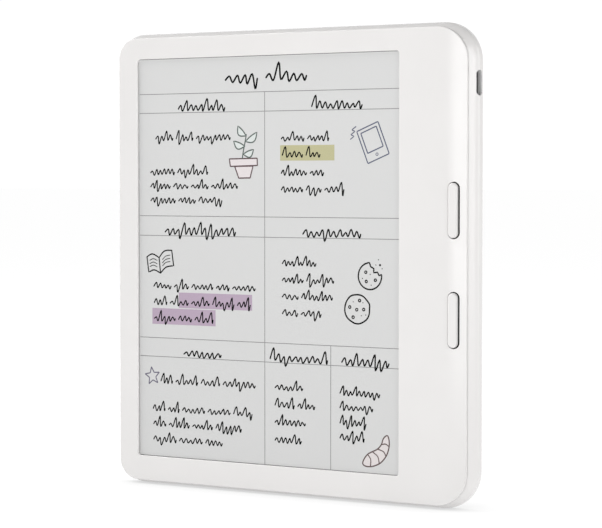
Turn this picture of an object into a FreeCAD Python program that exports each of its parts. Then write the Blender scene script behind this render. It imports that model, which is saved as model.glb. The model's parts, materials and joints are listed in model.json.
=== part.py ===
import FreeCAD
import Part
import math
import os

# Seven-inch e-reader with a wide grip on the right-hand side.
# Frame: +X to the right seen from the screen side, +Z up, the screen faces -Y.
# Every "depth" below is a distance in mm behind the flat front plane.
# Outlines are (x_min, x_max, z_min, z_max, left corner radius, right corner radius).

# ---------------------------------------------------------------- overall
WIDTH = 144.6
HEIGHT = 161.0
THICKNESS = 8.3
THIN_THICKNESS = 6.4
BUTTON_PROUD = 0.5
FRONT_Y = BUTTON_PROUD - (THICKNESS + BUTTON_PROUD) / 2
OVERCUT = 1.0

SHELL_OUTLINE = (-WIDTH / 2, WIDTH / 2, 0.0, HEIGHT, 9.5, 13.0)
PLATE_OUTLINE = (-69.9, 69.8, 1.4, 159.4, 7.5, 11.0)
OPENING = (-61.9, 44.9, 10.2, 151.9, 1.0, 1.0)

# ---------------------------------------------------------------- front plate
PLATE_BACK = 1.8
GRIP_ROLL_WIDTH = 10.5
GRIP_ROLL_DROP = 1.3
PLATE_EDGE_RADIUS = 0.3
OPENING_LIP_RADIUS = 0.35
POCKET = (-64.2, 47.3, 6.0, 154.7, 1.0, 1.0)
POCKET_DEPTH = 0.9
FLEX_NOTCH = (46.3, 50.2, 125.5, 134.5)
FLEX_NOTCH_DEPTH = 1.1
RIM_OFFSET = 1.1
RIM_WALL = 0.8
RIM_BACK = 3.35
FRAME_BOSS_RADIUS = 1.4
BUTTON_BOSS_RADIUS = 1.5
THREAD_FRONT = 2.1

# ---------------------------------------------------------------- back cover
SEAM = 0.25
SEAM_WIDTH = 0.4
SEAL_WIDTH = 0.55
SHELL_FRONT = PLATE_BACK + SEAM
FLARE_STEPS = ((SHELL_FRONT, 0.0), (2.75, 0.34), (3.6, 0.65), (4.4, 0.87), (5.2, 1.0))
SHELL_EDGE_RADIUS = 1.1
BACK_WALL = 1.1
THIN_WALL = 1.0
RIM_LAND = 1.0
CAVITY_STEP = 3.2
SIDE_WALL = 2.3
COVER_BOSS_RADIUS = 1.6
BOSS_ROOT = 0.2
WEDGE_START = 22.0
WEDGE_END = 46.0
INNER_BACK = THICKNESS - BACK_WALL
INNER_THIN = THIN_THICKNESS - THIN_WALL

# ---------------------------------------------------------------- page buttons
BUTTON_X = 65.1
BUTTON_HEIGHTS = (("upper", 99.0), ("lower", 62.9))
BUTTON_WIDTH = 3.4
BUTTON_LENGTH = 18.1
BUTTON_GAP = 0.38
SLOT_SHIFT = 0.2
BUTTON_EDGE_RADIUS = 0.7
FLANGE_FRONT = 1.9
FLANGE_BACK = 2.35
FLANGE_OVERHANG = 1.0
FLANGE_ROOM = 0.35
FLANGE_RADIUS = 1.2
PAD_HALF = 1.6
PAD_CORNER = 0.5
PAD_BACK = 2.65
PAGE_PLUNGER_RADIUS = 0.8
PAGE_PLUNGER_TIP = 3.35
PAGE_SWITCH_HALF = 2.05
PAGE_SWITCH_FRONT = 3.05
PAGE_SWITCH_BACK = 3.8
PAGE_SWITCH_FLOOR = 0.05
PAGE_SWITCH_BORE = 0.9
SWITCH_CORNER = 0.3
BUTTON_BOARD = (55.6, 67.8, 45.0, 117.0, 1.0, 1.0)
BUTTON_BOARD_BACK = 4.35

# ---------------------------------------------------------------- power button and light
POWER_X = 57.5
POWER_Z = 131.0
POWER_RADIUS = 4.9
POWER_GAP = 0.2
POWER_SUNK = 0.1
POWER_DISH_DEPTH = 0.18
POWER_DISH_RADIUS = 40.0
POWER_EDGE_RADIUS = 0.25
POWER_FLANGE_FRONT = 6.6
POWER_FLANGE_BACK = 7.05
POWER_FLANGE_WIDTH = 0.9
POWER_PLUNGER_RADIUS = 0.9
POWER_PLUNGER_TIP = 6.05
POWER_SWITCH_HALF = 2.6
POWER_SWITCH_BORE = 1.0
POWER_SWITCH_BACK = 6.2
LIGHT_X = 57.5
LIGHT_Z = 121.5
LIGHT_RADIUS = 0.8
LIGHT_SUNK = 0.05
LIGHT_PACKAGE = (1.6, 1.0, 0.6)

# ---------------------------------------------------------------- display stack
STACK = (-63.9, 46.9, 8.3, 154.0, 0.8, 0.8)
FILM_OVERHANG = 0.05
PANEL_OVERHANG = 0.2
FILM_BACK = 1.15
TOUCH_BACK = 1.45
GUIDE_BACK = 1.85
PANEL_BACK = 2.65
TAPE_BACK = 2.75
TAPE_INSET = 0.3
TAPE_WIDTH = 3.0
FRAME_BACK = 3.35
LED_PLACES = range(-56, 41, 12)
LED_HALF = 1.5
LED_LOW = 7.1
LED_HIGH = 8.3

# ---------------------------------------------------------------- flat cables: (distance, depth) paths
FLEX_SHEET = 0.15
LIGHT_STRIP_PATH = ((-60.0, 1.925), (49.3, 1.925), (52.4, 4.875), (55.4, 4.875))
LIGHT_STRIP_SPAN = (6.3, 8.0)
DISPLAY_FLEX_PATH = ((47.1, 2.2), (49.2, 2.2), (51.8, 4.075), (54.2, 4.075))
DISPLAY_FLEX_SPAN = (66.0, 96.0)
TOUCH_FLEX_PATH = ((46.9, 1.3), (48.6, 1.3), (51.8, 4.075), (54.2, 4.075))
TOUCH_FLEX_SPAN = (126.0, 134.0)
BUTTON_FLEX_PATH = ((117.0, 4.08), (119.4, 4.08), (121.2, 4.875), (125.4, 4.875))
BUTTON_FLEX_SPAN = (59.0, 63.0)
FLEX_SOCKET_X = (51.5, 54.5)
FLEX_SOCKET_MARGIN = 0.5
FLEX_SOCKET_FRONT = 4.15

# ---------------------------------------------------------------- midframe, battery, magnets
MIDFRAME = (-67.7, 47.9, 4.0, 156.8, 5.4, 2.0)
FRAME_EAR_X = (44.0, 51.4)
FRAME_EAR_HALF = 2.6
FRAME_EAR_RADII = (1.0, 1.8)
FRAME_WINDOW_X = (-50.0, 34.0)
FRAME_WINDOW_HEIGHTS = (17.0, 143.5)
FRAME_WINDOW_HALF = 5.0
FRAME_WINDOW_RADIUS = 2.0
BATTERY_TAPE = (-56.0, 14.0, 34.0, 126.0, 2.0, 2.0)
BATTERY_TAPE_BACK = 3.5
BATTERY = (-58.0, 16.0, 30.0, 130.0, 1.5, 1.5)
BATTERY_BACK = 5.1
LEAD_RADIUS = 0.4
LEAD_HEIGHTS = (119.9, 121.0, 122.1)
LEAD_DEPTH = 4.3
BATTERY_PLUG = (49.2, 53.2, 118.0, 124.0)
BATTERY_PLUG_FRONT = 3.6
MAGNET_X = (-66.8, -63.0)
MAGNET_HEIGHTS = (32.0, 130.0)
MAGNET_HALF = 6.0
MAGNET_BACK = 4.85
MAGNET_RADIUS = 0.4

# ---------------------------------------------------------------- main board
BOARD_FRONT = 4.95
BOARD_BACK = 5.65
BOARD = (48.4, 69.0, 5.5, 155.0, 3.0, 8.0)
BOARD_NOTCH_HALF = 4.55
# packages on the rear face: x, z, width, height, thickness
PACKAGES = {
    "processor": (58.5, 98.0, 13.0, 13.0, 1.0),
    "memory_chip": (58.5, 81.5, 12.0, 11.0, 0.9),
    "storage_chip": (58.5, 66.0, 11.5, 13.0, 0.9),
    "power_chip": (58.5, 51.0, 6.0, 6.0, 0.8),
    "wireless_module": (57.3, 30.0, 11.0, 13.0, 1.1),
    "tilt_sensor": (64.5, 44.0, 3.0, 3.0, 0.9),
    "cover_sensor": (52.0, 46.0, 2.9, 1.6, 1.0),
}
SMALL_PART = (0.6, 1.1, 0.5)
SMALL_ROWS = ((66.0, 3.6, 7), (67.3, 3.6, 7), (50.6, 4.5, 5))
SMALL_START = 84.0
SHIELD = (51.0, 63.6, 22.6, 37.4)
SHIELD_HEIGHT = 1.35
SHIELD_SHEET = 0.2
SHIELD_LID = 0.15
SHIELD_GATE = (56.3, 57.7, 22.0, 23.5)
ANTENNA_FILM = (51.0, 63.4, 5.0, 17.0, 0.5, 0.5)
ANTENNA_SHEET = 0.15
ANTENNA_CABLE_X = 57.0
ANTENNA_CABLE_START = 12.0
ANTENNA_CABLE_LENGTH = 11.4
ANTENNA_CABLE_RADIUS = 0.45
ANTENNA_CABLE_DEPTH = 6.6

# ---------------------------------------------------------------- screws
FRAME_SCREWS = [(x, z) for x in (-66.2, 49.6) for z in (12.0, 60.0, 101.0, 149.0)]
BOARD_SCREWS = [(66.3, 12.0), (66.3, 150.0), (50.8, 41.5), (50.8, 138.5)]
BUTTON_SCREWS = [(58.0, 48.0), (57.2, 80.75), (58.0, 113.5)]
SCREW_RADIUS = 0.6
SCREW_CLEARANCE = 0.05
HEAD_RADIUS = 1.1
HEAD_HEIGHT = 0.45
CROSS_LENGTH = 0.65
CROSS_WIDTH = 0.14
CROSS_SHARE = 0.56
FRAME_SCREW_TIP = 2.15
BUTTON_SCREW_TIP = 2.5
BOARD_SCREW_TIP = 6.8

# ---------------------------------------------------------------- USB port: (length, height) of each profile
PORT_Z = 140.8
PORT_DEPTH = 5.35
PORT_MOUTH = (8.6, 3.0)
PORT_POCKET = (9.04, 3.3)
PORT_POCKET_X = 71.2
RING_FLANGE = (9.0, 3.26)
RING_BORE = (8.36, 2.66)
RING_SUNK = 0.05
SHELL_SIZE = (8.9, 3.16)
SHELL_SHEET = 0.3
SHELL_BACK_X = 63.3
SHELL_MOUTH_X = 70.9
TONGUE_ROOT_X = 64.9
TONGUE_TIP_X = 70.2
TONGUE_HALF_WIDTH = 3.35
TONGUE_HALF_THICK = 0.35
TONGUE_EDGE_RADIUS = 0.2
CONTACT_COUNT = 12
CONTACT_PITCH = 0.5
CONTACT_HALF = 0.13
CONTACT_THICK = 0.04
CONTACT_END_X = 69.8
GASKET_SIZE = (10.1, 3.56)
GASKET_X = (69.2, 70.0)


def at(depth):
    """Y coordinate of a depth behind the front plane."""
    return FRONT_Y + depth


def point(x, z, depth):
    return FreeCAD.Vector(x, at(depth), z)


def inset(rect, amount):
    """Outline moved inwards by an amount on every side."""
    x0, x1, z0, z1, left, right = rect
    return (x0 + amount, x1 - amount, z0 + amount, z1 - amount,
            max(left - amount, 0.2), max(right - amount, 0.2))


def around(x, z, half_width, half_height, radius):
    """Outline centred on a point."""
    return (x - half_width, x + half_width, z - half_height, z + half_height, radius, radius)


def between(rect_a, rect_b, share):
    return tuple(a + (b - a) * share for a, b in zip(rect_a, rect_b))


def outline(rect, depth):
    """Closed wire of a rectangle with rounded corners, standing at one depth."""
    x0, x1, z0, z1, left, right = rect
    corners = (
        (x1 - right, z1 - right, right, 0),
        (x0 + left, z1 - left, left, 90),
        (x0 + left, z0 + left, left, 180),
        (x1 - right, z0 + right, right, 270),
    )
    arcs = []
    for cx, cz, radius, start in corners:
        on_arc = []
        for turn in (0, 45, 90):
            angle = math.radians(start + turn)
            on_arc.append(point(cx + radius * math.cos(angle), cz + radius * math.sin(angle), depth))
        arcs.append(on_arc)
    edges = []
    for index, on_arc in enumerate(arcs):
        edges.append(Part.Arc(*on_arc).toShape())
        following = arcs[(index + 1) % 4][0]
        if on_arc[2].distanceToPoint(following) > 1e-6:
            edges.append(Part.makeLine(on_arc[2], following))
    return Part.Wire(edges)


def slab(rect, depth_a, depth_b):
    """Rounded rectangle extruded from one depth to another."""
    return Part.Face(outline(rect, depth_a)).extrude(FreeCAD.Vector(0, depth_b - depth_a, 0))


def capsule(x, z, width, length, depth_a, depth_b):
    return slab(around(x, z, width / 2, length / 2, width / 2), depth_a, depth_b)


def block(x0, x1, z0, z1, depth_a, depth_b):
    return Part.makeBox(x1 - x0, depth_b - depth_a, z1 - z0, point(x0, z0, depth_a))


def disc(x, z, radius, depth_a, depth_b):
    return Part.makeCylinder(radius, depth_b - depth_a, point(x, z, depth_a), FreeCAD.Vector(0, 1, 0))


def frame(rect, width, depth_a, depth_b):
    """Flat ring that follows an outline."""
    inner = slab(inset(rect, width), depth_a - OVERCUT, depth_b + OVERCUT)
    return slab(rect, depth_a, depth_b).cut(inner)


def holes(shape, places, depth_a, depth_b):
    """Clearance holes for screws."""
    for x, z in places:
        shape = shape.cut(disc(x, z, SCREW_RADIUS + SCREW_CLEARANCE, depth_a - OVERCUT, depth_b + OVERCUT))
    return shape


def port_prism(size, x0, x1):
    """Round-ended bar along X, centred on the port."""
    length, height = size
    radius = height / 2
    straight = length / 2 - radius
    points = []
    for side, start in ((1, 0), (-1, 180)):
        for turn in (0, 90, 180):
            angle = math.radians(start + turn)
            points.append(FreeCAD.Vector(
                x0,
                at(PORT_DEPTH) + radius * math.cos(angle),
                PORT_Z + side * straight + radius * math.sin(angle)))
    wire = Part.Wire([
        Part.Arc(*points[0:3]).toShape(),
        Part.makeLine(points[2], points[3]),
        Part.Arc(*points[3:6]).toShape(),
        Part.makeLine(points[5], points[0]),
    ])
    return Part.Face(wire).extrude(FreeCAD.Vector(x1 - x0, 0, 0))


def ribbon(path, span, across_x=False):
    """Bent flat cable: a path of (distance, depth) points given thickness and width."""
    normals = []
    for (a0, d0), (a1, d1) in zip(path, path[1:]):
        run = math.hypot(a1 - a0, d1 - d0)
        normals.append((-(d1 - d0) / run, (a1 - a0) / run))
    offsets = []
    for index in range(len(path)):
        before = normals[max(index - 1, 0)]
        after = normals[min(index, len(normals) - 1)]
        along, deep = before[0] + after[0], before[1] + after[1]
        scale = FLEX_SHEET / (along * along + deep * deep)
        offsets.append((along * scale, deep * scale))
    side_a = [(a + o[0], d + o[1]) for (a, d), o in zip(path, offsets)]
    side_b = [(a - o[0], d - o[1]) for (a, d), o in zip(path, offsets)]
    loop = side_a + side_b[::-1]
    start, end = span
    if across_x:
        corners = [point(start, a, d) for a, d in loop]
        sweep = FreeCAD.Vector(end - start, 0, 0)
    else:
        corners = [point(a, start, d) for a, d in loop]
        sweep = FreeCAD.Vector(0, 0, end - start)
    return Part.Face(Part.makePolygon(corners + corners[:1])).extrude(sweep)


def screw(x, z, seat, tip):
    """Pan-head screw with a cross recess: the head sits on the seat, on the side away from the tip."""
    away = math.copysign(1.0, seat - tip)
    top = seat + away * HEAD_HEIGHT
    floor = top - away * CROSS_SHARE * HEAD_HEIGHT
    head = disc(x, z, HEAD_RADIUS, min(seat, top), max(seat, top))
    for half_x, half_z in ((CROSS_LENGTH, CROSS_WIDTH), (CROSS_WIDTH, CROSS_LENGTH)):
        slot = block(x - half_x, x + half_x, z - half_z, z + half_z, min(top, floor), max(top, floor))
        head = head.cut(slot)
    shank = disc(x, z, SCREW_RADIUS, min(seat, tip), max(seat, tip))
    return head.fuse(shank).removeSplitter()


def round_edges(shape, radius, chosen):
    return shape.makeFillet(radius, [edge for edge in shape.Edges if chosen(edge)])


def near_depth(edge, low, high):
    return all(low <= vertex.Point.y - FRONT_Y <= high for vertex in edge.Vertexes)


def touches_outline(edge, rect, slack=0.05):
    """True when the middle of an edge lies on an outline or outside it."""
    middle = edge.valueAt((edge.FirstParameter + edge.LastParameter) / 2)
    inside = slab(inset(rect, slack), -THICKNESS, 2 * THICKNESS)
    return not inside.isInside(middle, 1e-4, True)


# ---------------------------------------------------------------- front plate
def make_front_bezel():
    roll_start = PLATE_OUTLINE[1] - GRIP_ROLL_WIDTH
    roll_radius = (GRIP_ROLL_WIDTH ** 2 + GRIP_ROLL_DROP ** 2) / (2 * GRIP_ROLL_DROP)
    angle = math.asin((GRIP_ROLL_WIDTH + OVERCUT) / roll_radius)

    def on_roll(turn):
        return point(roll_start + roll_radius * math.sin(turn), 0, roll_radius * (1 - math.cos(turn)))

    left = PLATE_OUTLINE[0] - OVERCUT
    end = on_roll(angle)
    low_right = FreeCAD.Vector(end.x, at(PLATE_BACK), 0)
    section = Part.Wire([
        Part.makeLine(point(left, 0, 0), point(roll_start, 0, 0)),
        Part.Arc(point(roll_start, 0, 0), on_roll(angle / 2), end).toShape(),
        Part.makeLine(end, low_right),
        Part.makeLine(low_right, point(left, 0, PLATE_BACK)),
        Part.makeLine(point(left, 0, PLATE_BACK), point(left, 0, 0)),
    ])
    plate = Part.Face(section).extrude(FreeCAD.Vector(0, 0, HEIGHT))
    plate = plate.common(slab(PLATE_OUTLINE, -OVERCUT, PLATE_BACK))
    plate = round_edges(plate, PLATE_EDGE_RADIUS, lambda edge: (
        near_depth(edge, -0.01, GRIP_ROLL_DROP + 0.02) and touches_outline(edge, PLATE_OUTLINE)))
    plate = plate.cut(slab(OPENING, -OVERCUT, PLATE_BACK + OVERCUT))
    plate = round_edges(plate, OPENING_LIP_RADIUS, lambda edge: (
        near_depth(edge, -0.01, 0.01) and not touches_outline(edge, inset(OPENING, -0.1), 0.0)))
    plate = plate.cut(slab(POCKET, POCKET_DEPTH, PLATE_BACK + OVERCUT))
    plate = plate.cut(block(*FLEX_NOTCH, FLEX_NOTCH_DEPTH, PLATE_BACK + OVERCUT))

    plate = plate.fuse(frame(inset(PLATE_OUTLINE, RIM_OFFSET), RIM_WALL, PLATE_BACK, RIM_BACK))
    for x, z in FRAME_SCREWS:
        plate = plate.fuse(disc(x, z, FRAME_BOSS_RADIUS, PLATE_BACK, TAPE_BACK))
    for x, z in BUTTON_SCREWS:
        plate = plate.fuse(disc(x, z, BUTTON_BOSS_RADIUS, PLATE_BACK, PAGE_SWITCH_BACK))
    for x, z in FRAME_SCREWS + BUTTON_SCREWS:
        plate = plate.cut(disc(x, z, SCREW_RADIUS, THREAD_FRONT, PAGE_SWITCH_BACK + OVERCUT))
    room_x = BUTTON_WIDTH / 2 + FLANGE_OVERHANG + FLANGE_ROOM
    room_z = BUTTON_LENGTH / 2 + FLANGE_OVERHANG + FLANGE_ROOM
    for _, z in BUTTON_HEIGHTS:
        plate = plate.cut(capsule(
            BUTTON_X + SLOT_SHIFT, z, BUTTON_WIDTH + 2 * BUTTON_GAP, BUTTON_LENGTH + 2 * BUTTON_GAP,
            -OVERCUT, PLATE_BACK + OVERCUT))
        plate = plate.cut(block(
            BUTTON_X - room_x, BUTTON_X + room_x, z - room_z, z + room_z, PLATE_BACK, RIM_BACK + OVERCUT))
    return plate.removeSplitter()


# ---------------------------------------------------------------- back cover
def behind_wedge(grip_depth, thin_depth):
    """Region behind the stepped back surface: thin on the left, thick on the grip side."""
    low = -OVERCUT
    middle = (WEDGE_START + WEDGE_END) / 2
    curve = Part.BezierCurve()
    curve.setPoles([
        point(WEDGE_START, low, thin_depth),
        point(middle, low, thin_depth),
        point(middle, low, grip_depth),
        point(WEDGE_END, low, grip_depth),
    ])
    corners = [
        point(WEDGE_END, low, grip_depth),
        point(WIDTH, low, grip_depth),
        point(WIDTH, low, 2 * THICKNESS),
        point(-WIDTH, low, 2 * THICKNESS),
        point(-WIDTH, low, thin_depth),
        point(WEDGE_START, low, thin_depth),
    ]
    edges = [curve.toShape()]
    edges += [Part.makeLine(a, b) for a, b in zip(corners, corners[1:])]
    return Part.Face(Part.Wire(edges)).extrude(FreeCAD.Vector(0, 0, HEIGHT + 2 * OVERCUT))


def make_cover_body():
    """Outer shape of the back cover, before anything is taken out of it."""
    sections = [outline(between(PLATE_OUTLINE, SHELL_OUTLINE, share), depth) for depth, share in FLARE_STEPS]
    flare = Part.makeLoft(sections, True, False)
    body = flare.fuse(slab(SHELL_OUTLINE, FLARE_STEPS[-1][0], THICKNESS + OVERCUT))
    body = body.cut(behind_wedge(THICKNESS, THIN_THICKNESS)).removeSplitter()
    return round_edges(body, SHELL_EDGE_RADIUS, lambda edge: (
        near_depth(edge, THIN_THICKNESS - 0.01, THICKNESS + 0.01) and touches_outline(edge, SHELL_OUTLINE)))


def make_back_cover(body):
    front_room = slab(inset(PLATE_OUTLINE, RIM_LAND), SHELL_FRONT - OVERCUT, CAVITY_STEP)
    deep_room = slab(inset(SHELL_OUTLINE, SIDE_WALL), CAVITY_STEP, INNER_BACK + OVERCUT)
    deep_room = deep_room.cut(behind_wedge(INNER_BACK, INNER_THIN))
    body = body.cut(front_room).cut(deep_room)
    for x, z in BOARD_SCREWS:
        body = body.fuse(disc(x, z, COVER_BOSS_RADIUS, BOARD_BACK, INNER_BACK + BOSS_ROOT))
    for x, z in BOARD_SCREWS:
        body = body.cut(disc(x, z, SCREW_RADIUS, BOARD_BACK - OVERCUT, INNER_BACK))
    body = body.cut(port_prism(PORT_MOUTH, PORT_POCKET_X - OVERCUT, WIDTH))
    body = body.cut(port_prism(PORT_POCKET, GASKET_X[0], PORT_POCKET_X))
    body = body.cut(disc(
        POWER_X, POWER_Z, POWER_RADIUS + POWER_GAP, INNER_BACK - OVERCUT, THICKNESS + OVERCUT))
    body = body.cut(disc(LIGHT_X, LIGHT_Z, LIGHT_RADIUS, INNER_BACK - OVERCUT, THICKNESS + OVERCUT))
    return body.removeSplitter()


# ---------------------------------------------------------------- buttons and switches
def make_page_cap(z):
    stem = capsule(BUTTON_X, z, BUTTON_WIDTH, BUTTON_LENGTH, -BUTTON_PROUD, FLANGE_BACK)
    stem = round_edges(stem, BUTTON_EDGE_RADIUS, lambda edge: near_depth(edge, -THICKNESS, 0.0))
    flange = around(
        BUTTON_X, z, BUTTON_WIDTH / 2 + FLANGE_OVERHANG, BUTTON_LENGTH / 2 + FLANGE_OVERHANG, FLANGE_RADIUS)
    return stem.fuse(slab(flange, FLANGE_FRONT, FLANGE_BACK)).removeSplitter()


def make_page_switch(z):
    shape = around(BUTTON_X, z, PAGE_SWITCH_HALF, PAGE_SWITCH_HALF, SWITCH_CORNER)
    box = slab(shape, PAGE_SWITCH_FRONT, PAGE_SWITCH_BACK)
    return box.cut(disc(
        BUTTON_X, z, PAGE_SWITCH_BORE, PAGE_SWITCH_FRONT - OVERCUT, PAGE_SWITCH_BACK - PAGE_SWITCH_FLOOR))


def make_power_cap():
    face = THICKNESS - POWER_SUNK
    cap = disc(POWER_X, POWER_Z, POWER_RADIUS, POWER_FLANGE_FRONT, face)
    cap = round_edges(cap, POWER_EDGE_RADIUS, lambda edge: near_depth(edge, face - 0.01, face + 0.01))
    dish = Part.makeSphere(
        POWER_DISH_RADIUS, point(POWER_X, POWER_Z, face + POWER_DISH_RADIUS - POWER_DISH_DEPTH))
    flange = disc(POWER_X, POWER_Z, POWER_RADIUS + POWER_FLANGE_WIDTH, POWER_FLANGE_FRONT, POWER_FLANGE_BACK)
    return cap.cut(dish).fuse(flange).removeSplitter()


def make_power_switch():
    shape = around(POWER_X, POWER_Z, POWER_SWITCH_HALF, POWER_SWITCH_HALF, SWITCH_CORNER)
    box = slab(shape, BOARD_BACK, POWER_SWITCH_BACK)
    return box.cut(disc(
        POWER_X, POWER_Z, POWER_SWITCH_BORE, BOARD_BACK - OVERCUT, POWER_SWITCH_BACK + OVERCUT))


# ---------------------------------------------------------------- frame and boards
def make_midframe():
    sheet = slab(MIDFRAME, TAPE_BACK, FRAME_BACK)
    for x, z in FRAME_SCREWS:
        if x > 0:
            ear = (*FRAME_EAR_X, z - FRAME_EAR_HALF, z + FRAME_EAR_HALF, *FRAME_EAR_RADII)
            sheet = sheet.fuse(slab(ear, TAPE_BACK, FRAME_BACK))
    sheet = holes(sheet, FRAME_SCREWS, TAPE_BACK, FRAME_BACK)
    for z in FRAME_WINDOW_HEIGHTS:
        window = (*FRAME_WINDOW_X, z - FRAME_WINDOW_HALF, z + FRAME_WINDOW_HALF,
                  FRAME_WINDOW_RADIUS, FRAME_WINDOW_RADIUS)
        sheet = sheet.cut(slab(window, TAPE_BACK - OVERCUT, FRAME_BACK + OVERCUT))
    return sheet.removeSplitter()


def make_lead(z):
    length = BATTERY_PLUG[0] - BATTERY[1]
    return Part.makeCylinder(LEAD_RADIUS, length, point(BATTERY[1], z, LEAD_DEPTH), FreeCAD.Vector(1, 0, 0))


def make_magnet(z):
    bar = (*MAGNET_X, z - MAGNET_HALF, z + MAGNET_HALF, MAGNET_RADIUS, MAGNET_RADIUS)
    return slab(bar, FRAME_BACK, MAGNET_BACK)


def make_main_board():
    board = slab(BOARD, BOARD_FRONT, BOARD_BACK)
    board = board.cut(block(
        SHELL_BACK_X - 0.1, WIDTH, PORT_Z - BOARD_NOTCH_HALF, PORT_Z + BOARD_NOTCH_HALF,
        BOARD_FRONT - OVERCUT, BOARD_BACK + OVERCUT))
    return holes(board, BOARD_SCREWS, BOARD_FRONT, BOARD_BACK)


def make_package(x, z, width, height, thick):
    """Plain package on the rear face of the main board."""
    return block(x - width / 2, x + width / 2, z - height / 2, z + height / 2, BOARD_BACK, BOARD_BACK + thick)


def make_small_parts():
    parts = []
    for x, pitch, count in SMALL_ROWS:
        for index in range(count):
            parts.append(make_package(x, SMALL_START + pitch * index, *SMALL_PART))
    return parts


def make_shield_can():
    x0, x1, z0, z1 = SHIELD
    top = BOARD_BACK + SHIELD_HEIGHT
    outer = block(x0, x1, z0, z1, BOARD_BACK, top)
    inner = block(x0 + SHIELD_SHEET, x1 - SHIELD_SHEET, z0 + SHIELD_SHEET, z1 - SHIELD_SHEET,
                  BOARD_BACK, top - SHIELD_LID)
    return outer.cut(inner).cut(block(*SHIELD_GATE, BOARD_BACK - OVERCUT, INNER_BACK))


# ---------------------------------------------------------------- USB receptacle
def make_usb_shell():
    bore = tuple(side - 2 * SHELL_SHEET for side in SHELL_SIZE)
    tube = port_prism(SHELL_SIZE, SHELL_BACK_X, SHELL_MOUTH_X)
    return tube.cut(port_prism(bore, SHELL_BACK_X - OVERCUT, SHELL_MOUTH_X + OVERCUT))


def make_usb_tongue():
    bore = tuple(side - 2 * SHELL_SHEET for side in SHELL_SIZE)
    root = port_prism(bore, SHELL_BACK_X, TONGUE_ROOT_X)
    blade = block(TONGUE_ROOT_X, TONGUE_TIP_X, PORT_Z - TONGUE_HALF_WIDTH, PORT_Z + TONGUE_HALF_WIDTH,
                  PORT_DEPTH - TONGUE_HALF_THICK, PORT_DEPTH + TONGUE_HALF_THICK)
    blade = round_edges(blade, TONGUE_EDGE_RADIUS, lambda edge: all(
        abs(vertex.Point.x - TONGUE_TIP_X) < 0.01 for vertex in edge.Vertexes))
    return root.fuse(blade).removeSplitter()


def make_usb_contacts():
    contacts = []
    for face in (PORT_DEPTH - TONGUE_HALF_THICK - CONTACT_THICK, PORT_DEPTH + TONGUE_HALF_THICK):
        for index in range(CONTACT_COUNT):
            z = PORT_Z + (index - (CONTACT_COUNT - 1) / 2) * CONTACT_PITCH
            contacts.append(block(
                TONGUE_ROOT_X, CONTACT_END_X, z - CONTACT_HALF, z + CONTACT_HALF, face, face + CONTACT_THICK))
    return contacts


def make_port_ring(body):
    """Liner of the case opening, trimmed to the curved side just below its surface."""
    sleeve = port_prism(PORT_MOUTH, SHELL_MOUTH_X, WIDTH)
    side = body.copy()
    side.translate(FreeCAD.Vector(-RING_SUNK, 0, 0))
    sleeve = sleeve.common(side)
    sleeve = sleeve.fuse(port_prism(RING_FLANGE, SHELL_MOUTH_X, PORT_POCKET_X))
    return sleeve.cut(port_prism(RING_BORE, SHELL_MOUTH_X - OVERCUT, WIDTH)).removeSplitter()


def make_usb_gasket():
    ring = port_prism(GASKET_SIZE, *GASKET_X)
    return ring.cut(port_prism(SHELL_SIZE, GASKET_X[0] - OVERCUT, GASKET_X[1] + OVERCUT))


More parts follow.
